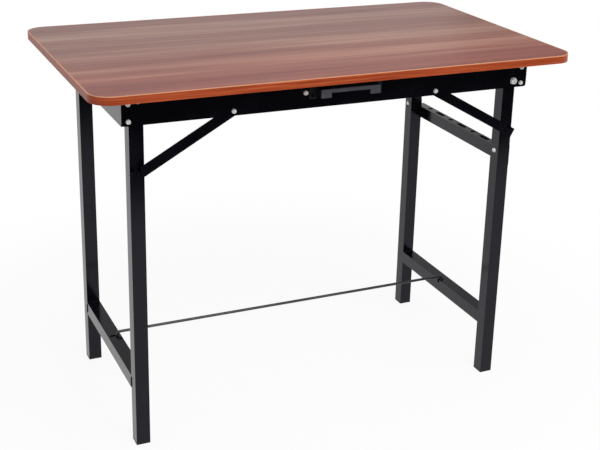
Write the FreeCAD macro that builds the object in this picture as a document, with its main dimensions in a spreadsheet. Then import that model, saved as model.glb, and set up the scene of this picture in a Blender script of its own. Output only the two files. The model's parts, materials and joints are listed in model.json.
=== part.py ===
"""Folding work table: a laminate top on a steel apron, two folding tube frames, hooked braces and a tie rod.

Millimetres. X runs along the table, +Y points to the back, +Z points up. The origin is on the floor under the
middle of the top.
"""
import FreeCAD, Part
import os
import re

SIZES = {
    # Table top
    "top_length": 1000, "top_depth": 580, "top_height": 750, "board_thickness": 16,
    "corner_radius": 41, "band_thickness": 2,
    # Apron rails
    "rail_end_inset": 68, "rail_side_inset": 71, "rail_height": 62.5, "rail_thickness": 2, "rail_flange": 22,
    "rail_corner_radius": 6, "tab_width": 22,
    # Leg frames
    "leg_section": 28, "leg_wall": 1.5, "frame_end_inset": 17, "frame_side_inset": 14.5,
    "crossbar_height": 115,
    "foot_height": 5, "plug_height": 20,
    # Leg pivots, below the board
    "left_pivot_drop": 14.5, "right_pivot_drop": 48.5, "pivot_radius": 4, "pivot_head_radius": 7.5,
    "pivot_head_height": 4.5, "socket_radius": 2.6, "socket_depth": 2.5,
    "pivot_nut_radius": 7.5, "pivot_nut_height": 6, "spacer_radius": 7,
    # Small bolts, nuts and screws
    "bolt_radius": 3, "bolt_head_radius": 4.9, "bolt_head_height": 3, "nut_radius": 5.7, "nut_height": 4,
    "screw_radius": 2, "screw_head_radius": 4, "screw_head_height": 2, "screw_depth": 11,
    "screw_side_reach": 130, "screw_end_inset": 52, "screw_depth_reach": 120,
    "corner_bolt_inset": 13, "corner_bolt_high": 21, "corner_bolt_low": 54,
    # Braces and the studs they hook on
    "brace_run": 185, "brace_fall": 104.5, "brace_drop": 53.5, "brace_width": 20, "brace_thickness": 3,
    "brace_tip": 15, "left_brace_gap": 0.5, "right_brace_gap": 4.5, "stud_radius": 4,
    "stud_clearance": 0.6, "collar_radius": 6, "stud_head_radius": 6.5, "stud_head_height": 2.2,
    # Tie rod
    "rod_radius": 3, "rod_inset": 19, "rod_rise": 8, "rod_hook_depth": 6, "rod_bend_radius": 8,
    "rod_clearance": 0.6, "rod_slot_length": 11.5, "notch_depth": 7.5, "rod_split": 100, "lap_length": 30,
    # Tool rack
    "rack_bottom": 493, "rack_height": 26.5, "rack_sheet": 2, "rack_flange": 19, "rack_lip": 14,
    "rack_bolt_height": 527, "ear_width": 24, "ear_rise": 18, "shelf_front_inset": 32.5, "slot_length": 35,
    "slot_width": 10, "tool_hole_radius": 6, "slot_front_margin": 22, "slot_back_margin": 50.5,
    # Carry handle and the bolt beside it
    "handle_offset": 14, "handle_width": 126, "handle_height": 17, "handle_drop": 21, "grip_thickness": 5,
    "handle_reach": 26, "finger_width": 83, "finger_rise": 9.5,
    "handle_foot_length": 15, "handle_foot_height": 23,
    "handle_foot_thickness": 3, "handle_screw_inset": 7.5, "handle_screw_drop": 37,
    "side_bolt_gap": 6, "side_bolt_drop": 31.5,
    # Fits
    "run_clearance": 0.06, "face_gap": 0.3, "overrun": 5,
    # Shares
    "head_crown_share": 0.82, "half_share": 0.5,
}

# Places that several pieces share, written in the sizes above
PLACES = {
    "underside": "top_height - board_thickness",
    "half_leg": "leg_section * half_share",
    "rail_face_y": "top_depth * half_share - rail_side_inset",
    "rail_back_y": "rail_face_y - rail_thickness",
    "rail_end_x": "top_length * half_share - rail_end_inset",
    "rail_length": "2 * rail_end_x",
    "leg_face_x": "rail_end_x - frame_end_inset",
    "leg_face_y": "rail_face_y - frame_side_inset",
    "leg_axis_x": "leg_face_x - half_leg",
    "leg_axis_y": "leg_face_y - half_leg",
    "screw_end_reach": "rail_end_x - screw_end_inset",
    "rail_bottom": "underside - rail_height",
    "left_pivot_z": "underside - left_pivot_drop",
    "right_pivot_z": "underside - right_pivot_drop",
    "brace_z": "underside - brace_drop",
    "brace_reach": "leg_axis_x - brace_run",
    "stud_height": "brace_z - brace_fall",
    "brace_length": "sqrt(brace_run * brace_run + brace_fall * brace_fall)",
    "bar_top": "crossbar_height + leg_section",
    "rack_x": "leg_face_x",
    "shelf_front_y": "leg_axis_y - shelf_front_inset",
    "shelf_length": "shelf_front_y + leg_axis_y + ear_width * half_share",
    "slot_pitch": "(shelf_length - slot_front_margin - slot_back_margin) / 6",
    "rack_top": "rack_bottom + rack_height",
    "rod_z": "bar_top + rod_rise",
    "hook_x": "rack_x - rod_inset",
    "handle_top": "underside - handle_drop",
    "handle_screw_x": "handle_width * half_share + handle_foot_length - handle_screw_inset",
    "side_bolt_x": "handle_offset - handle_width * half_share - handle_foot_length - side_bolt_gap",
    "handle_screw_z": "underside - handle_screw_drop",
}

doc = FreeCAD.newDocument("folding_work_table")
sheet = doc.addObject("Spreadsheet::Sheet", "Sizes")
for row, (alias, value) in enumerate({**SIZES, **PLACES}.items(), start=1):
    cell = f"B{row}"
    text = str(value)
    sheet.set(f"A{row}", alias)
    sheet.set(cell, text if alias in SIZES else "=" + text)
    sheet.setAlias(cell, alias)
doc.recompute()


def linked(expression):
    """The expression with every size and place name pointing at the sheet."""
    names = "|".join(sorted({**SIZES, **PLACES}, key=len, reverse=True))
    return re.sub(rf"\b({names})\b", r"Sizes.\1", expression)


def bind(piece, **expressions):
    for prop, expression in expressions.items():
        piece.setExpression(prop.replace("__", "."), linked(str(expression)))
    return piece


def place(piece, x="0", y="0", z="0"):
    return bind(piece, Placement__Base__x=x, Placement__Base__y=y, Placement__Base__z=z)


def turn(piece, axis, angle):
    piece.Placement = FreeCAD.Placement(FreeCAD.Vector(), FreeCAD.Rotation(axis, 1))
    return bind(piece, Placement__Rotation__Angle=angle)


ALONG_X = FreeCAD.Rotation(FreeCAD.Vector(0, 1, 0), 90)
ALONG_Y = FreeCAD.Rotation(FreeCAD.Vector(1, 0, 0), -90)
AGAINST_Y = FreeCAD.Rotation(FreeCAD.Vector(1, 0, 0), 90)
AGAINST_X = FreeCAD.Rotation(FreeCAD.Vector(0, 1, 0), -90)
ALONG_Z = FreeCAD.Rotation()
DOWN_Z = FreeCAD.Rotation(FreeCAD.Vector(1, 0, 0), 180)


def box(x, y, z, length, width, height):
    """A box from its lowest corner."""
    piece = bind(doc.addObject("Part::Box", "box"), Length=length, Width=width, Height=height)
    return place(piece, x, y, z)


def rod(direction, x, y, z, radius, length):
    """A round bar that starts at a point and runs in a direction."""
    piece = bind(doc.addObject("Part::Cylinder", "rod"), Radius=radius, Height=length)
    piece.Placement = FreeCAD.Placement(FreeCAD.Vector(), direction)
    return place(piece, x, y, z)


def crown(direction, x, y, z, radius, height):
    """A bolt head that narrows towards its crown."""
    piece = bind(doc.addObject("Part::Cone", "crown"), Radius1=radius,
                 Radius2=f"({radius}) * head_crown_share", Height=height)
    piece.Placement = FreeCAD.Placement(FreeCAD.Vector(), direction)
    return place(piece, x, y, z)


def hexagon(direction, x, y, z, radius, height):
    piece = bind(doc.addObject("Part::Prism", "hexagon"), Circumradius=radius, Height=height)
    piece.Polygon = 6
    piece.Placement = FreeCAD.Placement(FreeCAD.Vector(), direction)
    return place(piece, x, y, z)


def fuse(*pieces):
    joined = doc.addObject("Part::MultiFuse", "joined")
    joined.Shapes = list(pieces)
    joined.Refine = True
    return joined


def group(*pieces):
    several = doc.addObject("Part::Compound", "several")
    several.Links = list(pieces)
    return several


def cut(base, *tools):
    result = doc.addObject("Part::Cut", "result")
    result.Base = base
    result.Tool = tools[0] if len(tools) == 1 else group(*tools)
    result.Refine = True
    return result


def rounded_slab(length, width, z, height, radius):
    """A flat slab, centred on Z, with its four upright corners rounded."""
    half_x, half_y = f"({length}) * half_share", f"({width}) * half_share"
    post_x, post_y = f"({half_x} - ({radius}))", f"({half_y} - ({radius}))"
    posts = [rod(ALONG_Z, f"{sx} * {post_x}", f"{sy} * {post_y}", z, radius, height)
             for sx in (-1, 1) for sy in (-1, 1)]
    long_way = box(f"-({half_x})", f"-{post_y}", z, length, f"2 * {post_y}", height)
    wide_way = box(f"-{post_x}", f"-({half_y})", z, f"2 * {post_x}", width, height)
    return fuse(long_way, wide_way, *posts)


nodes = {}


def keep(name, piece):
    """Gives a finished sub-part the label that names its file."""
    piece.Label = name
    nodes[name] = piece


SIDES = {"left": -1, "right": 1}
ENDS = {"front": -1, "back": 1}
FACING = {-1: AGAINST_Y, 1: ALONG_Y}
INWARD = {-1: ALONG_Y, 1: AGAINST_Y}


def bolt(end, x, y, z, radius, length, head_radius, head_height):
    """A bolt whose head stands on the outer face of a front or back rail."""
    shank = rod(INWARD[end], x, y, z, radius, length)
    return fuse(shank, crown(FACING[end], x, y, z, head_radius, head_height))


def nut(end, x, y, z, radius, height, hole):
    """A nut that starts at y and runs inwards from a front or back rail."""
    body = hexagon(INWARD[end], x, y, z, radius, height)
    return cut(body, rod(INWARD[end], x, y, z, hole, height))


# Screws that hold the rails up to the board
def screw_places():
    for sy in (-1, 1):
        for reach in ("screw_side_reach", "screw_end_reach"):
            for sx in (-1, 1):
                yield f"{sx} * {reach}", f"{sy} * (rail_face_y + rail_flange * half_share)"
    for sx in (-1, 1):
        for sy in (-1, 1):
            yield f"{sx} * (rail_end_x + rail_flange * half_share)", f"{sy} * screw_depth_reach"


def screw(x, y):
    shank = rod(ALONG_Z, x, y, "underside - rail_thickness", "screw_radius", "rail_thickness + screw_depth")
    head = crown(DOWN_Z, x, y, "underside - rail_thickness", "screw_head_radius", "screw_head_height")
    return fuse(shank, head)


def screw_hole(x, y):
    return rod(ALONG_Z, x, y, "underside - rail_thickness", "screw_radius", "rail_thickness + screw_depth")


# Table top
def table_top():
    length, width = "top_length - 2 * band_thickness", "top_depth - 2 * band_thickness"
    radius = "corner_radius - band_thickness"
    core = rounded_slab(length, width, "underside", "board_thickness", radius)
    keep("table_top", cut(core, *[screw_hole(x, y) for x, y in screw_places()]))
    outer = rounded_slab("top_length", "top_depth", "underside", "board_thickness", "corner_radius")
    inner = rounded_slab(length, width, "underside - overrun", "board_thickness + 2 * overrun", radius)
    keep("edge_band", cut(outer, inner))
    keep("top_screws", group(*[screw(x, y) for x, y in screw_places()]))


# Apron rails
def corner_bolt_places(side):
    for drop in ("corner_bolt_high", "corner_bolt_low"):
        yield f"{side} * (rail_end_x - corner_bolt_inset)", f"underside - {drop}"


def rail_holes(end):
    """Every hole through the web of a long rail."""
    start = f"{end} * (rail_face_y + overrun)"
    depth = "rail_thickness + 2 * overrun"
    for side in SIDES.values():
        for x, z in corner_bolt_places(side):
            yield rod(INWARD[end], x, start, z, "bolt_radius", depth)
        if end == ENDS["front"]:
            yield rod(INWARD[end], f"{side} * brace_reach", start, "brace_z", "bolt_radius", depth)
    for name, side in SIDES.items():
        yield rod(INWARD[end], f"{side} * leg_axis_x", start, f"{name}_pivot_z", "pivot_radius", depth)
    if end == ENDS["front"]:
        yield rod(ALONG_Y, "side_bolt_x", "-rail_face_y - overrun", "underside - side_bolt_drop",
                  "bolt_radius", depth)
        for side in SIDES.values():
            yield rod(ALONG_Y, f"handle_offset + {side} * handle_screw_x", "-rail_face_y - overrun",
                      "handle_screw_z", "screw_radius", depth)


def long_rail(end):
    web_y = "-rail_face_y" if end < 0 else "rail_back_y"
    flange_y = "-rail_face_y - rail_flange" if end < 0 else "rail_back_y"
    raised = "rail_bottom + rail_corner_radius"
    upper = box("-rail_end_x", web_y, raised, "rail_length", "rail_thickness",
                "rail_height - rail_corner_radius")
    lower = box("-rail_end_x + rail_corner_radius", web_y, "rail_bottom",
                "rail_length - 2 * rail_corner_radius", "rail_thickness", "rail_height")
    corners = [rod(ALONG_Y, f"{side} * (rail_end_x - rail_corner_radius)", web_y, raised,
                   "rail_corner_radius", "rail_thickness") for side in SIDES.values()]
    flange = box("-rail_end_x", flange_y, "underside - rail_thickness", "rail_length",
                 "rail_flange + rail_thickness", "rail_thickness")
    screws = [screw_hole(x, y) for x, y in screw_places()]
    return cut(fuse(upper, lower, flange, *corners), *rail_holes(end), *screws)


def end_rail(side):
    web_x = "-rail_end_x" if side < 0 else "rail_end_x - rail_thickness"
    flange_x = "-rail_end_x - rail_flange" if side < 0 else "rail_end_x - rail_thickness"
    tab_x = "-rail_end_x" if side < 0 else "rail_end_x - tab_width"
    web = box(web_x, "-rail_back_y", "rail_bottom", "rail_thickness", "2 * rail_back_y", "rail_height")
    flange = box(flange_x, "-rail_back_y", "underside - rail_thickness", "rail_flange + rail_thickness",
                 "2 * rail_back_y", "rail_thickness")
    tabs = [box(tab_x, y, "rail_bottom", "tab_width", "rail_thickness", "rail_height")
            for y in ("-rail_back_y", "rail_back_y - rail_thickness")]
    holes = [rod(ALONG_Y, x, "-rail_back_y - overrun", z, "bolt_radius", "2 * (rail_back_y + overrun)")
             for x, z in corner_bolt_places(side)]
    screws = [screw_hole(x, y) for x, y in screw_places()]
    return cut(fuse(web, flange, *tabs), *holes, *screws)


def apron():
    for name, end in ENDS.items():
        keep(f"{name}_rail", long_rail(end))
    for name, side in SIDES.items():
        keep(f"{name}_end_rail", end_rail(side))
    length = "2 * rail_thickness + nut_height"
    bolts, nuts = [], []
    for end in ENDS.values():
        outer_y, inner_y = f"{end} * rail_face_y", f"{end} * (rail_back_y - rail_thickness)"
        for side in SIDES.values():
            for x, z in corner_bolt_places(side):
                bolts.append(bolt(end, x, outer_y, z, "bolt_radius", length, "bolt_head_radius",
                                  "bolt_head_height"))
                nuts.append(nut(end, x, inner_y, z, "nut_radius", "nut_height", "bolt_radius"))
    keep("corner_bolts", group(*bolts))
    keep("corner_nuts", group(*nuts))


# Leg frames
def leg(side, end, pivot_z):
    """A square tube with a closed round head on its pivot and its foot end open."""
    x, y = f"{side} * leg_axis_x", f"{end} * leg_axis_y"
    hollow = "leg_section - 2 * leg_wall"
    outer = fuse(box(f"{x} - half_leg", f"{y} - half_leg", "foot_height", "leg_section", "leg_section",
                     f"{pivot_z} - foot_height"),
                 rod(ALONG_Y, x, f"{y} - half_leg", pivot_z, "half_leg", "leg_section"))
    inner_y = f"{y} - half_leg + leg_wall"
    inner = fuse(box(f"{x} - half_leg + leg_wall", inner_y, "foot_height - overrun", hollow, hollow,
                     f"{pivot_z} - foot_height + overrun"),
                 rod(ALONG_Y, x, inner_y, pivot_z, "half_leg - leg_wall", hollow))
    tools = [inner, rod(ALONG_Y, x, f"{y} - leg_section", pivot_z, "pivot_radius + run_clearance",
                        "2 * leg_section")]
    if side == SIDES["right"]:
        tools.append(rod(ALONG_X, f"{x} - leg_section", y, "rack_bolt_height", "bolt_radius",
                         "2 * leg_section"))
    return cut(outer, *tools)


def foot(side, end):
    x, y = f"{side} * leg_axis_x", f"{end} * leg_axis_y"
    hollow = "leg_section - 2 * leg_wall"
    pad = box(f"{x} - half_leg", f"{y} - half_leg", "0", "leg_section", "leg_section", "foot_height")
    plug = box(f"{x} - half_leg + leg_wall", f"{y} - half_leg + leg_wall", "foot_height", hollow, hollow,
               "plug_height")
    return fuse(pad, plug)


def crossbar(side):
    """The low tube between two legs, with a slot in its top wall for the tie rod's hook."""
    low_x = f"{side} * leg_axis_x - half_leg"
    length = "2 * (leg_axis_y - half_leg)"
    hollow = "leg_section - 2 * leg_wall"
    outer = box(low_x, "-(leg_axis_y - half_leg)", "crossbar_height", "leg_section", length, "leg_section")
    inner = box(f"{low_x} + leg_wall", "-(leg_axis_y - half_leg) - overrun", "crossbar_height + leg_wall",
                hollow, f"{length} + 2 * overrun", hollow)
    reach = "rod_radius + rod_clearance"
    if side == SIDES["right"]:
        notch = box(f"{low_x} - overrun", f"-({reach})", "bar_top - notch_depth",
                    f"hook_x + {reach} - ({low_x}) + overrun", f"2 * ({reach})", "notch_depth + overrun")
        return cut(outer, inner, notch)
    low_z = "bar_top - leg_wall - overrun"
    depth = "leg_wall + 2 * overrun"
    far_x = "-hook_x - rod_slot_length"
    slot = fuse(box(far_x, f"-({reach})", low_z, "rod_slot_length", f"2 * ({reach})", depth),
                rod(ALONG_Z, "-hook_x", "0", low_z, reach, depth),
                rod(ALONG_Z, far_x, "0", low_z, reach, depth))
    return cut(outer, inner, slot)


def pivots(name, side):
    """Bolts, spacers and nuts that carry one frame."""
    x, z = f"{side} * leg_axis_x", f"{name}_pivot_z"
    bolts, spacers, nuts = [], [], []
    for end in ENDS.values():
        inner_face = f"{end} * (leg_axis_y - half_leg - face_gap)"
        length = "rail_face_y - leg_axis_y + half_leg + face_gap + pivot_nut_height"
        whole = bolt(end, x, f"{end} * rail_face_y", z, "pivot_radius", length, "pivot_head_radius",
                     "pivot_head_height")
        socket = hexagon(FACING[end], x, f"{end} * (rail_face_y + pivot_head_height - socket_depth)", z,
                         "socket_radius", "socket_depth + overrun")
        bolts.append(cut(whole, socket))
        width = "rail_back_y - leg_face_y - face_gap"
        spacers.append(cut(rod(INWARD[end], x, f"{end} * rail_back_y", z, "spacer_radius", width),
                           rod(INWARD[end], x, f"{end} * rail_back_y", z, "pivot_radius", width)))
        nuts.append(nut(end, x, inner_face, z, "pivot_nut_radius", "pivot_nut_height", "pivot_radius"))
    keep(f"{name}_pivot_bolts", group(*bolts))
    keep(f"{name}_pivot_spacers", group(*spacers))
    keep(f"{name}_pivot_nuts", group(*nuts))


def leg_frames():
    for name, side in SIDES.items():
        for end_name, end in ENDS.items():
            keep(f"{name}_{end_name}_leg", leg(side, end, f"{name}_pivot_z"))
        keep(f"{name}_crossbar", crossbar(side))
        keep(f"{name}_feet", group(*[foot(side, end) for end in ENDS.values()]))
        pivots(name, side)


# Braces
def brace(name, side, end):
    """A flat bar from its rail bolt to its leg stud, with a hook notch open on its upper edge."""
    inner_y = f"rail_back_y - {name}_brace_gap - brace_thickness"
    low_y = inner_y if end > 0 else f"-({inner_y}) - brace_thickness"
    stud_arm = f"({name}_pivot_z - stud_height)"
    slope = "atan(brace_fall / brace_run)"
    turn_rate = f"(180 deg - {slope}) / 90 deg"
    lean = (f"atan({stud_arm} * brace_run / brace_length"
            f" / (brace_length * {turn_rate} - {stud_arm} * brace_fall / brace_length))")
    notch_radius = "stud_radius + stud_clearance"
    through = "brace_thickness + 2 * overrun"
    bar = fuse(box("0", "0", "-brace_width * half_share", "brace_length + brace_tip", "brace_thickness",
                   "brace_width"),
               rod(ALONG_Y, "0", "0", "0", "brace_width * half_share", "brace_thickness"))
    hole = rod(ALONG_Y, "0", "-overrun", "0", "bolt_radius + run_clearance", through)
    seat = rod(ALONG_Y, "brace_length", "-overrun", "0", notch_radius, through)
    mouth = box(f"-({notch_radius})", "-overrun", "0", f"2 * ({notch_radius})", through, "brace_width")
    if side < 0:
        bind(mouth, Placement__Base__z="-brace_width")
    slanted = group(mouth)
    turn(slanted, FreeCAD.Vector(0, -1 if side > 0 else 1, 0), lean)
    place(slanted, "brace_length")
    piece = cut(bar, hole, seat, slanted)
    turn(piece, FreeCAD.Vector(0, 1, 0), slope if side > 0 else f"180 deg - {slope}")
    return place(piece, f"{side} * brace_reach", low_y, "brace_z")


def stud(name, side, end):
    """A shouldered stud on the leg's outer face; the right studs have room for a head past the brace."""
    x = f"{side} * leg_axis_x"
    brace_inner = f"(rail_back_y - {name}_brace_gap - brace_thickness)"
    collar = rod(FACING[end], x, f"{end} * leg_face_y", "stud_height", "collar_radius",
                 f"{brace_inner} - face_gap - leg_face_y")
    pin = rod(FACING[end], x, f"{end} * leg_face_y", "stud_height", "stud_radius",
              f"{brace_inner} + brace_thickness - leg_face_y")
    if side == SIDES["left"]:
        return fuse(collar, pin)
    head_y = f"{end} * ({brace_inner} + brace_thickness + face_gap)"
    neck = rod(FACING[end], x, f"{end} * leg_face_y", "stud_height", "stud_radius",
               f"{brace_inner} + brace_thickness + face_gap - leg_face_y")
    head = rod(FACING[end], x, head_y, "stud_height", "stud_head_radius", "stud_head_height")
    return fuse(collar, pin, neck, head)


def braces():
    end = ENDS["front"]
    bolts, washers, nuts = [], [], []
    for name, side in SIDES.items():
        keep(f"{name}_brace", brace(name, side, end))
        keep(f"{name}_brace_stud", stud(name, side, end))
        x = f"{side} * brace_reach"
        inner_y = f"(rail_back_y - {name}_brace_gap - brace_thickness - face_gap)"
        bolts.append(bolt(end, x, f"{end} * rail_face_y", "brace_z", "bolt_radius",
                          f"rail_face_y - {inner_y} + nut_height", "bolt_head_radius", "bolt_head_height"))
        width = f"{name}_brace_gap - face_gap"
        washers.append(cut(rod(INWARD[end], x, f"{end} * rail_back_y", "brace_z", "nut_radius", width),
                           rod(INWARD[end], x, f"{end} * rail_back_y", "brace_z", "bolt_radius", width)))
        nuts.append(nut(end, x, f"{end} * {inner_y}", "brace_z", "nut_radius", "nut_height", "bolt_radius"))
    keep("brace_bolts", group(*bolts))
    keep("brace_washers", group(*washers))
    keep("brace_nuts", group(*nuts))


# Tie rod, in two lengths that overlap in a half-lap
def tie_rod(side):
    """One length of the rod: a straight run, a bend and a hook that drops into its crossbar."""
    start_x = f"{side} * (hook_x - rod_bend_radius)"
    half_lap = "lap_length * half_share"
    slack = "face_gap * half_share"
    run_length = f"hook_x - rod_bend_radius - {side} * rod_split + {half_lap} - {slack}"
    run = rod(ALONG_X if side < 0 else AGAINST_X, start_x, "0", "rod_z", "rod_radius", run_length)
    bend_z = "rod_z - rod_bend_radius"
    bend = bind(doc.addObject("Part::Torus", "bend"), Radius1="rod_bend_radius", Radius2="rod_radius")
    bend.Angle3 = 90
    upright = FreeCAD.Rotation(FreeCAD.Vector(1, 0, 0), 90)
    facing = FreeCAD.Rotation(FreeCAD.Vector(0, 1, 0), 0 if side > 0 else -90)
    bend.Placement = FreeCAD.Placement(FreeCAD.Vector(), facing.multiply(upright))
    place(bend, start_x, "0", bend_z)
    hook = rod(DOWN_Z, f"{side} * hook_x", "0", bend_z, "rod_radius", f"{bend_z} - bar_top + rod_hook_depth")
    lap_x = f"rod_split - {half_lap} - overrun" if side > 0 else f"rod_split - {half_lap} - {slack}"
    lap_y = "-rod_radius - overrun" if side > 0 else f"-{slack}"
    lap = box(lap_x, lap_y, "rod_z - rod_radius - overrun", f"lap_length + overrun + {slack}",
              f"rod_radius + overrun + {slack}", "2 * (rod_radius + overrun)")
    return cut(fuse(run, bend, hook), lap)


# Tool rack on the outer faces of the right legs
def rack():
    ear_y = "(leg_axis_y - ear_width * half_share)"
    web = box("rack_x", f"-{ear_y} - ear_width", "rack_bottom", "rack_sheet", f"2 * ({ear_y} + ear_width)",
              "rack_height")
    ears = [box("rack_x", y, "rack_bottom", "rack_sheet", "ear_width", "rack_height + ear_rise")
            for y in (ear_y, f"-{ear_y} - ear_width")]
    shelf = box("rack_x", "-shelf_front_y", "rack_top - rack_sheet", "rack_sheet + rack_flange",
                "shelf_length", "rack_sheet")
    lip = box("rack_x + rack_flange", "-shelf_front_y", "rack_top - rack_lip", "rack_sheet", "shelf_length",
              "rack_lip")
    middle_x = "rack_x + rack_sheet + rack_flange * half_share"
    low_z, depth = "rack_top - rack_sheet - overrun", "rack_sheet + 2 * overrun"
    tools = []
    for step in range(7):
        y = f"slot_front_margin - shelf_front_y + {step} * slot_pitch"
        if step % 2 == 0:
            tools.append(rod(ALONG_Z, middle_x, y, low_z, "tool_hole_radius", depth))
            continue
        half_run = "(slot_length - slot_width) * half_share"
        tools.append(box(f"{middle_x} - slot_width * half_share", f"{y} - {half_run}", low_z, "slot_width",
                         "slot_length - slot_width", depth))
        for sign in (-1, 1):
            tools.append(rod(ALONG_Z, middle_x, f"{y} + {sign} * {half_run}", low_z,
                             "slot_width * half_share", depth))
    for end in ENDS.values():
        tools.append(rod(ALONG_X, "rack_x - overrun", f"{end} * leg_axis_y", "rack_bolt_height",
                         "bolt_radius", "rack_sheet + 2 * overrun"))
    keep("tool_rack", cut(fuse(web, shelf, lip, *ears), *tools))
    inner_x = "rack_x - leg_section"
    outer_x = "rack_x + rack_sheet"
    bolts, nuts = [], []
    for end in ENDS.values():
        y, z = f"{end} * leg_axis_y", "rack_bolt_height"
        shank = rod(ALONG_X, inner_x, y, z, "bolt_radius", "leg_section + rack_sheet + nut_height")
        bolts.append(fuse(shank, crown(AGAINST_X, inner_x, y, z, "bolt_head_radius", "bolt_head_height")))
        nuts.append(cut(hexagon(ALONG_X, outer_x, y, z, "nut_radius", "nut_height"),
                        rod(ALONG_X, outer_x, y, z, "bolt_radius", "nut_height")))
    keep("rack_bolts", group(*bolts))
    keep("rack_nuts", group(*nuts))


# Carry handle on the front rail
def handle_screw_x(side):
    return f"handle_offset + {side} * handle_screw_x"


def carry_handle():
    """A grip bar on two arms, with a foot outside each arm that is screwed to the rail."""
    half = "handle_width * half_share"
    arm_width = "(handle_width - finger_width) * half_share"
    low_z = "handle_top - handle_height"
    front_y = "-rail_face_y - handle_reach"
    grip = box(f"handle_offset - {half}", front_y, low_z, "handle_width", "grip_thickness", "handle_height")
    arms, feet, screws = [], [], []
    for side in SIDES.values():
        arm_x = f"handle_offset - {half}" if side < 0 else f"handle_offset + {half} - {arm_width}"
        arms.append(box(arm_x, front_y, low_z, arm_width, "handle_reach", "handle_height"))
        foot_x = f"handle_offset - {half} - handle_foot_length" if side < 0 else f"handle_offset + {half}"
        foot = box(foot_x, "-rail_face_y - handle_foot_thickness", "handle_top - handle_foot_height",
                   "handle_foot_length", "handle_foot_thickness", "handle_foot_height")
        x, y = handle_screw_x(side), "-rail_face_y - handle_foot_thickness"
        length = "handle_foot_thickness + rail_thickness"
        feet.append(cut(foot, rod(ALONG_Y, x, y, "handle_screw_z", "screw_radius", length)))
        head = crown(AGAINST_Y, x, y, "handle_screw_z", "screw_head_radius", "screw_head_height")
        screws.append(fuse(rod(ALONG_Y, x, y, "handle_screw_z", "screw_radius", length), head))
    gap = box("handle_offset - finger_width * half_share", f"{front_y} - overrun", f"{low_z} - overrun",
              "finger_width", "handle_reach + overrun", "finger_rise + overrun")
    keep("carry_handle", cut(fuse(grip, *arms), gap))
    keep("handle_feet", group(*feet))
    keep("handle_screws", group(*screws))
    z = "underside - side_bolt_drop"
    keep("side_bolt", bolt(ENDS["front"], "side_bolt_x", "-rail_face_y", z, "bolt_radius",
                           "rail_thickness + nut_height", "bolt_head_radius", "bolt_head_height"))
    keep("side_nut", nut(ENDS["front"], "side_bolt_x", "-rail_back_y", z, "nut_radius", "nut_height",
                         "bolt_radius"))


table_top()
apron()
leg_frames()
braces()
for side_name, side_sign in SIDES.items():
    keep(f"{side_name}_tie_rod", tie_rod(side_sign))
rack()
carry_handle()
doc.recompute()

for piece in doc.Objects:
    if {"Invalid", "Error"} & set(piece.State):
        raise RuntimeError(f"{piece.Name} ({piece.Label}) failed: {piece.State}")
os.makedirs("parts", exist_ok=True)
for name, piece in nodes.items():
    shape = piece.Shape
    if shape.isNull() or not shape.isValid() or not shape.Solids:
        raise RuntimeError(f"{name} has no valid solid")
for name, piece in nodes.items():
    piece.Shape.exportStep(f"parts/{name}.step")
print(len(nodes), "sub-parts")
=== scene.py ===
"""Folding work table: a walnut laminate top on a glossy black folding frame with zinc fasteners.

Metres, in the frame of the table: X along its length, +Y to the back, +Z up.
"""
import json
import math

import bmesh
import bpy
from mathutils import Matrix, Vector


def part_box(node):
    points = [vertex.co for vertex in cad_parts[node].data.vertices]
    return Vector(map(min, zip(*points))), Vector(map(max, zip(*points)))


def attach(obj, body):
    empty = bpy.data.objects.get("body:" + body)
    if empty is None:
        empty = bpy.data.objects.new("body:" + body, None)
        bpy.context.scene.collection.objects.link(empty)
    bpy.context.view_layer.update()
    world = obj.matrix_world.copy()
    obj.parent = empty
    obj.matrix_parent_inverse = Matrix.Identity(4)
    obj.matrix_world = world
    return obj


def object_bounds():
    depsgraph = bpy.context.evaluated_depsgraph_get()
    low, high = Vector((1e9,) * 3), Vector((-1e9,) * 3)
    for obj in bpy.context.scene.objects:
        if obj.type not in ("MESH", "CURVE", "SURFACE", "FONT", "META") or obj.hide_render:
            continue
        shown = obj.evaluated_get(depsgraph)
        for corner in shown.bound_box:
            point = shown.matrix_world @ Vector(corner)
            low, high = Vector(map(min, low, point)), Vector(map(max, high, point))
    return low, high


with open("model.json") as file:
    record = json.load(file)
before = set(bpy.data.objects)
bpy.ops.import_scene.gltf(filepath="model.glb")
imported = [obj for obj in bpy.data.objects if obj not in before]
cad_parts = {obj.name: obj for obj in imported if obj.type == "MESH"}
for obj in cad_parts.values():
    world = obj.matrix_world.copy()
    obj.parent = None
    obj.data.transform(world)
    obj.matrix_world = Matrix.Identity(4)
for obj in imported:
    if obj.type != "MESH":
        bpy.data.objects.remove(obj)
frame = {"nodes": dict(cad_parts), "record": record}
cad_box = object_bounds()

MM = 0.001
WHITE = (1.0, 1.0, 1.0, 1.0)

# Rounding of the edges of each kind of piece, in millimetres
EDGE_ROUNDING = {
    "table_top": 0.3, "edge_band": 1.8, "carry_handle": 2.2, "handle_feet": 0.8, "tool_rack": 0.35,
    "left_brace": 0.5, "right_brace": 0.5, "left_feet": 1.2, "right_feet": 1.2,
}
TUBE_ROUNDING = 2.4
SHEET_ROUNDING = 0.5
FASTENER_ROUNDING = 0.7
ROUNDING_SEGMENTS = 3
ROUNDING_ANGLE = math.radians(40)

# Weld beads where each crossbar meets its legs; the inner faces are ground flush, so that the frames can
# fold flat
BEAD_RADIUS = 1.6 * MM
BEAD_SETBACK = 2.5 * MM
BEAD_SIDES = 10
BEAD_RIPPLES = 16
RINGS_PER_RIPPLE = 4
RIPPLE_SHARE = 0.14
BEAD_TIP_SHARE = 0.25
BEAD_TAPER_SHARE = 0.125

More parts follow.
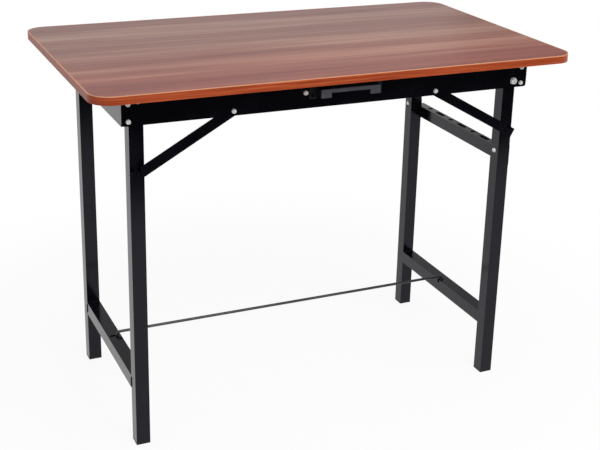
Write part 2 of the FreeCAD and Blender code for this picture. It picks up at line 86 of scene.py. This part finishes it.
# How pale the walnut print is: place across the top, from front to back, and level
PALE_BANDS = ((0.10, 0.0), (0.22, 0.14), (0.31, 0.26), (0.39, 0.08), (0.50, 0.32), (0.60, 0.08), (0.82, 0.30),
              (0.92, 0.10))
BAND_DRIFT = 0.03
BROAD_STREAKS = 0.55
NARROW_STREAKS = 0.64
PORE_TINT = (0.80, 0.78, 0.78, 1.0)
PORE_DEPTH = 0.75

# Painted sheen: the print is drawn less red and a little bluer towards the back, where more light reflects
# off the top: place across the top and factor on each colour
PAINTED_BACK_SHEEN = ((0.20, (1.0, 0.97, 0.96, 1.0)), (0.60, (0.81, 1.0, 1.12, 1.0)))

# Depths below its upper edge between which a painted highlight turns the edge band pale
PAINTED_EDGE_HIGHLIGHT = (0.0020, 0.0010)

# A face counts as facing down, or to the front, where that part of its normal is below this
FACING_LIMIT = -0.5

# Camera, solved from the photograph
CAMERA_PLACE = (-0.9655, -2.1990, 1.3089)
CAMERA_YAW = 0.4309
CAMERA_PITCH = 0.3335
CAMERA_ROLL = -0.0266
FOCAL_PIXELS = 1179.4
IMAGE_WIDTH = 600
IMAGE_CENTRE = (299.5, 224.5)
PRINCIPAL_POINT = (310.43, 165.0)
SENSOR_WIDTH = 36.0

# The floor: its corners, its grey, how much of its shown brightness is plain white near the table, and the
# distances between which it fades to white
FLOOR_LOW = (-12.0, -1.5)
FLOOR_HIGH = (12.0, 14.0)
FLOOR_HEIGHT = -0.0005
FLOOR_GREY = (0.9, 0.9, 0.9, 1.0)
FLOOR_GLOW_SHARE = 0.9
FLOOR_FADE = (0.5, 1.3)

# The low white sheet behind the table
BACKDROP_LEFT = -9.0
BACKDROP_RIGHT = 3.5
BACKDROP_PLACE = 5.0
BACKDROP_TOP = 2.14

# Light from the room, its brightness in reflections, and the directions between which that changes
WORLD_LIGHT = 0.5
DIM_ROOM = 0.04
CEILING = 0.42
WHITE_WALL = 1.0
BACK_FADE = (-0.25, 0.15)
LEFT_FADE = (-0.35, -0.75)

# Lamps: name, place, size and power
LAMPS = (
    ("key", (0.1, -2.0, 2.4), 2.0, 54.0),
    ("fill", (2.2, -2.0, 2.2), 2.4, 8.0),
    ("top", (0.2, 1.2, 2.8), 2.6, 4.0),
)
LAMP_TARGET = Vector((0.0, 0.0, 0.5))


def srgb(red, green, blue):
    """A colour given as screen values from 0 to 255, in linear light."""
    def linear(value):
        value /= 255
        return value / 12.92 if value <= 0.04045 else ((value + 0.055) / 1.055) ** 2.4
    return (linear(red), linear(green), linear(blue), 1.0)


# Materials
class Graph:
    """A node tree, and helpers that add nodes to it."""

    def __init__(self, tree):
        self.tree = tree

    def node(self, kind, **settings):
        made = self.tree.nodes.new(kind)
        for key, value in settings.items():
            setattr(made, key, value)
        return made

    def feed(self, socket, value):
        """Links an output to a socket, or sets a plain value on it."""
        if isinstance(value, bpy.types.NodeSocket):
            self.tree.links.new(value, socket)
        else:
            socket.default_value = value

    def maths(self, operation, *values):
        maths = self.node("ShaderNodeMath", operation=operation)
        for socket, value in zip(maths.inputs, values):
            self.feed(socket, value)
        return maths.outputs["Value"]

    def axis(self, vector, name):
        """One part of a vector."""
        parts = self.node("ShaderNodeSeparateXYZ")
        self.feed(parts.inputs["Vector"], vector)
        return parts.outputs[name]

    def spread(self, value, start, end, low=0.0, high=1.0, shape="LINEAR"):
        """Runs from low to high while a value runs from start to end."""
        spread = self.node("ShaderNodeMapRange", interpolation_type=shape)
        for name, given in (("Value", value), ("From Min", start), ("From Max", end), ("To Min", low),
                            ("To Max", high)):
            self.feed(spread.inputs[name], given)
        return spread.outputs["Result"]

    def mix_shaders(self, factor, first, second):
        mix = self.node("ShaderNodeMixShader")
        self.feed(mix.inputs["Fac"], factor)
        self.feed(mix.inputs[1], first)
        self.feed(mix.inputs[2], second)
        return mix.outputs["Shader"]

    def light_path_mix(self, lit, shown):
        """Shows one shader to the camera and to reflections, and the other to everything else."""
        rays = self.node("ShaderNodeLightPath").outputs
        direct = self.maths("MAXIMUM", rays["Is Camera Ray"], rays["Is Glossy Ray"])
        direct = self.maths("MAXIMUM", direct, rays["Is Transmission Ray"])
        return self.mix_shaders(direct, lit, shown)


class Material(Graph):
    """A node material with a principled shader and helpers for procedural detail."""

    def __init__(self, name, **sockets):
        self.data = bpy.data.materials.new(name)
        self.data.use_nodes = True
        super().__init__(self.data.node_tree)
        self.shader = next(node for node in self.tree.nodes if node.type == "BSDF_PRINCIPLED")
        for socket, value in sockets.items():
            self.shader.inputs[socket.replace("_", " ")].default_value = value

    def place(self):
        """The place in the object's own space."""
        return self.node("ShaderNodeTexCoord").outputs["Object"]

    def facing(self, axis):
        """1 on the faces that look down an axis, and 0 on the others."""
        normal = self.node("ShaderNodeNewGeometry").outputs["Normal"]
        return self.maths("LESS_THAN", self.axis(normal, axis), FACING_LIMIT)

    def noise(self, stretch=(1.0, 1.0, 1.0), scale=1.0, detail=4.0, roughness=0.55, distortion=0.0):
        """Noise in the object's own space, stretched by a factor along each axis."""
        mapping = self.node("ShaderNodeMapping")
        self.feed(mapping.inputs["Vector"], self.place())
        self.feed(mapping.inputs["Scale"], stretch)
        texture = self.node("ShaderNodeTexNoise")
        for name, value in (("Vector", mapping.outputs["Vector"]), ("Scale", scale), ("Detail", detail),
                            ("Roughness", roughness), ("Distortion", distortion)):
            self.feed(texture.inputs[name], value)
        return texture.outputs["Fac"]

    def ramp(self, factor, *stops):
        """A colour ramp through (position, colour) stops."""
        ramp = self.node("ShaderNodeValToRGB")
        elements = ramp.color_ramp.elements
        while len(elements) < len(stops):
            elements.new(1.0)
        for element, (position, colour) in zip(elements, stops):
            element.position = position
            element.color = colour
        self.feed(ramp.inputs["Fac"], factor)
        return ramp.outputs["Color"]

    def mix(self, blend, factor, first, second):
        mix = self.node("ShaderNodeMix", data_type="RGBA", blend_type=blend)
        self.feed(mix.inputs["Factor"], factor)
        for name, value in (("A", first), ("B", second)):
            self.feed(next(s for s in mix.inputs if s.name == name and s.type == "RGBA"), value)
        return next(s for s in mix.outputs if s.type == "RGBA")

    def vary(self, socket, factor, low, high):
        """Lets a shader value run from low to high with a factor."""
        self.feed(self.shader.inputs[socket], self.spread(factor, 0.0, 1.0, low, high))

    def colour(self, output):
        self.feed(self.shader.inputs["Base Color"], output)

    def bump(self, height, strength, distance):
        bump = self.node("ShaderNodeBump")
        for name, value in (("Height", height), ("Strength", strength), ("Distance", distance)):
            self.feed(bump.inputs[name], value)
        self.feed(self.shader.inputs["Normal"], bump.outputs["Normal"])

    def surface(self, shader):
        """Puts another shader in the place of the principled one."""
        self.feed(self.tree.nodes["Material Output"].inputs["Surface"], shader)


def walnut_laminate():
    """Mauve-brown walnut print with pale bands along the table, a painted sheen that cools it towards the
    back, and a plain backing sheet underneath.
    """
    material = Material("walnut_laminate", Specular_IOR_Level=0.38)
    across = material.spread(material.axis(material.place(), "Y"), cad_box[0][1], cad_box[1][1])
    drift = material.noise((1.6, 5.0, 1.0), detail=4.0, distortion=0.4)
    bands = material.ramp(material.maths("MULTIPLY_ADD", drift, BAND_DRIFT, across),
                          *[(position, (level, level, level, 1.0)) for position, level in PALE_BANDS])
    broad = material.noise((0.9, 24.0, 1.0), detail=6.0, roughness=0.62, distortion=0.5)
    narrow = material.noise((2.2, 80.0, 1.0), detail=4.0, roughness=0.6, distortion=0.3)
    streaks = material.maths("MULTIPLY_ADD", broad, BROAD_STREAKS, bands)
    streaks = material.maths("MULTIPLY_ADD", narrow, NARROW_STREAKS, streaks)
    figure = material.ramp(streaks, (0.43, srgb(102, 28, 18)), (0.58, srgb(132, 56, 41)),
                           (0.76, srgb(150, 83, 65)), (0.96, srgb(180, 122, 99)))
    # Painted sheen: the colour turns less red and bluer towards the back of the top
    figure = material.mix("MULTIPLY", 1.0, figure, material.ramp(across, *PAINTED_BACK_SHEEN))
    fine = material.noise((5.0, 150.0, 1.0), detail=3.0)
    pores = material.ramp(fine, (0.34, PORE_TINT), (0.55, WHITE))
    grain = material.mix("MULTIPLY", PORE_DEPTH, figure, pores)
    speckle = material.noise(scale=420.0, detail=2.0)
    backing = material.ramp(speckle, (0.35, srgb(150, 118, 88)), (0.65, srgb(176, 144, 110)))
    material.colour(material.mix("MIX", material.facing("Z"), grain, backing))
    material.vary("Roughness", fine, low=0.26, high=0.38)
    material.bump(fine, strength=0.12, distance=0.0004)
    return material.data


def edge_band():
    """Orange-brown edging strip with faint streaks, and a pale line along its top edge that is a painted
    highlight.
    """
    material = Material("edge_band", Specular_IOR_Level=0.2)
    streaks = material.noise((7.0, 7.0, 260.0), detail=4.0, distortion=0.3)
    strip = material.ramp(streaks, (0.30, srgb(124, 44, 17)), (0.52, srgb(154, 65, 31)),
                          (0.72, srgb(176, 86, 48)))
    upper_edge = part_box("edge_band")[1][2]
    start, end = (upper_edge - depth for depth in PAINTED_EDGE_HIGHLIGHT)
    edge_highlight = material.spread(material.axis(material.place(), "Z"), start, end, shape="SMOOTHSTEP")
    # The pale colour along the top edge is a painted highlight
    material.colour(material.mix("MIX", edge_highlight, strip, srgb(204, 142, 108)))
    material.vary("Roughness", streaks, low=0.32, high=0.46)
    material.bump(streaks, strength=0.05, distance=0.0003)
    return material.data


def black_paint():
    """Glossy black enamel with a slight orange peel and dulled patches."""
    material = Material("black_steel", Specular_IOR_Level=0.29, Specular_Tint=(0.86, 0.84, 1.0, 1.0))
    patches = material.noise(scale=14.0, detail=5.0)
    material.colour(material.ramp(patches, (0.3, srgb(2, 2, 5)), (0.7, srgb(6, 7, 13))))
    material.vary("Roughness", patches, low=0.10, high=0.24)
    peel = material.noise(scale=260.0, detail=2.0)
    material.bump(peel, strength=0.05, distance=0.0003)
    return material.data


def zinc():
    """Bright zinc plating with a fine cloudy spangle."""
    material = Material("zinc_steel", Metallic=0.45)
    spangle = material.noise(scale=330.0, detail=4.0)
    material.colour(material.ramp(spangle, (0.3, srgb(222, 222, 219)), (0.7, srgb(246, 246, 243))))
    material.vary("Roughness", spangle, low=0.46, high=0.62)
    return material.data


def grey_rod():
    """Drawn grey steel with faint marks along its length."""
    material = Material("grey_steel", Metallic=1.0)
    marks = material.noise((9.0, 240.0, 240.0), detail=4.0)
    material.colour(material.ramp(marks, (0.3, srgb(66, 66, 69)), (0.7, srgb(98, 98, 102))))
    material.vary("Roughness", marks, low=0.34, high=0.52)
    return material.data


def plastic(name, dark, light, grain, painted_shade=None):
    """Moulded plastic with a fine pebbled grain; all but its front faces can take a darker colour that is
    painted shade.
    """
    material = Material(name, Specular_IOR_Level=0.3)
    cloud = material.noise(scale=60.0, detail=4.0)
    tone = material.ramp(cloud, (0.3, dark), (0.7, light))
    if painted_shade:
        # Painted shade: every face but the front ones takes the darker colour
        tone = material.mix("MIX", material.facing("Y"), painted_shade, tone)
    material.colour(tone)
    pebble = material.noise(scale=grain, detail=2.0)
    material.vary("Roughness", pebble, low=0.36, high=0.56)
    material.bump(pebble, strength=0.18, distance=0.0004)
    return material.data


materials = {
    "walnut_laminate": walnut_laminate(),
    "edge_band": edge_band(),
    "black_steel": black_paint(),
    "zinc_steel": zinc(),
    "grey_steel": grey_rod(),
    "black_plastic": plastic("black_plastic", srgb(9, 9, 11), srgb(17, 17, 20), grain=900.0),
    # The grey plastic's darker colour on all but its front faces is painted shade
    "grey_plastic": plastic("grey_plastic", srgb(66, 67, 75), srgb(80, 81, 90), grain=700.0,
                            painted_shade=srgb(14, 14, 17)),
}


def paint(piece, slot):
    piece.data.materials.clear()
    piece.data.materials.append(materials[slot])


# The CAD pieces: their materials and rounded edges
slots = {entry["node"]: entry["material_slot"] for entry in frame["record"]["subparts"]}


def rounding(node):
    """The edge rounding of a node, in millimetres."""
    if node in EDGE_ROUNDING:
        return EDGE_ROUNDING[node]
    if slots[node] == "zinc_steel":
        return FASTENER_ROUNDING
    return TUBE_ROUNDING if node.endswith(("_leg", "crossbar")) else SHEET_ROUNDING


for node, piece in frame["nodes"].items():
    paint(piece, slots[node])
    bevel = piece.modifiers.new("edges", "BEVEL")
    bevel.width = rounding(node) * MM
    bevel.segments = ROUNDING_SEGMENTS
    bevel.limit_method = "ANGLE"
    bevel.angle_limit = ROUNDING_ANGLE
    bevel.harden_normals = True


# Weld beads
def weld_bead(name, start, end, body):
    """A rippled bead from one point to another."""
    mesh = bmesh.new()
    run = end - start
    rings = BEAD_RIPPLES * RINGS_PER_RIPPLE
    across = run.orthogonal().normalized()
    beside = run.cross(across).normalized()
    loops = []
    for ring in range(rings + 1):
        share = ring / rings
        taper = min(1.0, share / BEAD_TAPER_SHARE, (1 - share) / BEAD_TAPER_SHARE)
        ripple = 1 + RIPPLE_SHARE * math.sin(share * BEAD_RIPPLES * math.tau)
        swell = BEAD_RADIUS * (BEAD_TIP_SHARE + (1 - BEAD_TIP_SHARE) * taper) * ripple
        middle = start + run * share
        loops.append([mesh.verts.new(middle + swell * (math.cos(angle) * across + math.sin(angle) * beside))
                      for angle in (side * math.tau / BEAD_SIDES for side in range(BEAD_SIDES))])
    for first, second in zip(loops, loops[1:]):
        for side in range(BEAD_SIDES):
            following = (side + 1) % BEAD_SIDES
            mesh.faces.new((first[side], first[following], second[following], second[side]))
    mesh.faces.new(reversed(loops[0]))
    mesh.faces.new(loops[-1])
    bmesh.ops.recalc_face_normals(mesh, faces=mesh.faces)
    data = bpy.data.meshes.new(name)
    mesh.to_mesh(data)
    mesh.free()
    for face in data.polygons:
        face.use_smooth = True
    piece = bpy.data.objects.new(name, data)
    bpy.context.collection.objects.link(piece)
    paint(piece, "black_steel")
    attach(piece, body)


for side in ("left", "right"):
    low, high = (Vector(corner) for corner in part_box(f"{side}_crossbar"))
    outer_x = low.x if side == "left" else high.x
    for end, y in (("front", low.y), ("back", high.y)):
        for place, z in (("top", high.z), ("under", low.z)):
            weld_bead(f"weld_{side}_{end}_{place}", Vector((low.x + BEAD_SETBACK, y, z)),
                      Vector((high.x - BEAD_SETBACK, y, z)), f"{side}_frame")
        weld_bead(f"weld_{side}_{end}_outer", Vector((outer_x, y, low.z + BEAD_SETBACK)),
                  Vector((outer_x, y, high.z - BEAD_SETBACK)), f"{side}_frame")


# Room, floor, light and camera
def room_brightness(graph):
    """A white wall on the left, a dimmer ceiling and back, and a dim side that the camera stands on."""
    direction = graph.node("ShaderNodeTexCoord").outputs["Generated"]
    back = graph.spread(graph.axis(direction, "Y"), *BACK_FADE, low=DIM_ROOM, high=CEILING)
    left = graph.spread(graph.axis(direction, "X"), *LEFT_FADE, low=DIM_ROOM, high=WHITE_WALL)
    return graph.maths("MAXIMUM", back, left)


def room():
    """Soft light, white for the camera, and a partly dim room in reflections."""
    world = bpy.data.worlds.new("studio")
    bpy.context.scene.world = world
    world.use_nodes = True
    graph = Graph(world.node_tree)

    def background(node, strength):
        graph.feed(node.inputs["Color"], WHITE)
        graph.feed(node.inputs["Strength"], strength)
        return node.outputs["Background"]

    soft = background(graph.tree.nodes["Background"], WORLD_LIGHT)
    white = background(graph.node("ShaderNodeBackground"), 1.0)
    dim = background(graph.node("ShaderNodeBackground"), room_brightness(graph))
    reflected = graph.node("ShaderNodeLightPath").outputs["Is Glossy Ray"]
    shown = graph.mix_shaders(reflected, white, dim)
    graph.feed(graph.tree.nodes["World Output"].inputs["Surface"], graph.light_path_mix(soft, shown))


def sheet(name, *corners):
    """A flat sheet of the stage."""
    data = bpy.data.meshes.new(name)
    data.from_pydata(corners, [], [tuple(range(len(corners)))])
    piece = bpy.data.objects.new(name, data)
    bpy.context.collection.objects.link(piece)
    return piece


def backdrop():
    """A low white sheet behind the table, for the camera and reflections, that lights nothing."""
    material = Material("backdrop")
    glow = material.node("ShaderNodeEmission").outputs["Emission"]
    clear = material.node("ShaderNodeBsdfTransparent").outputs["BSDF"]
    material.surface(material.light_path_mix(clear, glow))
    low = Vector((BACKDROP_LEFT, BACKDROP_PLACE, FLOOR_HEIGHT))
    high = Vector((BACKDROP_RIGHT, BACKDROP_PLACE, BACKDROP_TOP))
    piece = sheet("backdrop", low, (high.x, low.y, low.z), high, (low.x, low.y, high.z))
    piece.data.materials.append(material.data)


def floor():
    """A matt floor that shows faint shadows near the table and fades to white around it."""
    material = Material("floor", Base_Color=FLOOR_GREY, Roughness=0.9, Specular_IOR_Level=0.0)
    matt = material.shader.outputs["BSDF"]
    glow = material.node("ShaderNodeEmission").outputs["Emission"]
    distance = material.node("ShaderNodeVectorMath", operation="LENGTH")
    material.feed(distance.inputs[0], material.place())
    whiteness = material.spread(distance.outputs["Value"], *FLOOR_FADE, low=FLOOR_GLOW_SHARE, high=1.0,
                                shape="SMOOTHSTEP")
    material.surface(material.light_path_mix(matt, material.mix_shaders(whiteness, matt, glow)))
    (left, front), (right, back) = FLOOR_LOW, FLOOR_HIGH
    piece = sheet("floor", (left, front, FLOOR_HEIGHT), (right, front, FLOOR_HEIGHT),
                  (right, back, FLOOR_HEIGHT), (left, back, FLOOR_HEIGHT))
    piece.data.materials.append(material.data)


def lamps():
    for name, place, size, power in LAMPS:
        data = bpy.data.lights.new(name, "AREA")
        data.size = size
        data.energy = power
        lamp = bpy.data.objects.new(name, data)
        bpy.context.collection.objects.link(lamp)
        lamp.location = place
        lamp.rotation_euler = (LAMP_TARGET - Vector(place)).to_track_quat("-Z", "Y").to_euler()


def camera():
    level = math.cos(CAMERA_PITCH)
    forward = Vector((math.sin(CAMERA_YAW) * level, math.cos(CAMERA_YAW) * level, -math.sin(CAMERA_PITCH)))
    right = Vector((math.cos(CAMERA_YAW), -math.sin(CAMERA_YAW), 0.0))
    down = forward.cross(right)
    rolled_right = math.cos(CAMERA_ROLL) * right + math.sin(CAMERA_ROLL) * down
    rolled_down = math.cos(CAMERA_ROLL) * down - math.sin(CAMERA_ROLL) * right
    data = bpy.data.cameras.new("camera")
    data.sensor_width = SENSOR_WIDTH
    data.lens = SENSOR_WIDTH * FOCAL_PIXELS / IMAGE_WIDTH
    data.shift_x = (IMAGE_CENTRE[0] - PRINCIPAL_POINT[0]) / IMAGE_WIDTH
    data.shift_y = (PRINCIPAL_POINT[1] - IMAGE_CENTRE[1]) / IMAGE_WIDTH
    viewer = bpy.data.objects.new("camera", data)
    bpy.context.collection.objects.link(viewer)
    turn = Matrix((rolled_right, -rolled_down, -forward)).transposed().to_4x4()
    viewer.matrix_world = Matrix.Translation(CAMERA_PLACE) @ turn
    bpy.context.scene.camera = viewer


room()
backdrop()
floor()
lamps()
camera()
bpy.context.scene.view_settings.view_transform = "Standard"

bpy.context.view_layer.update()
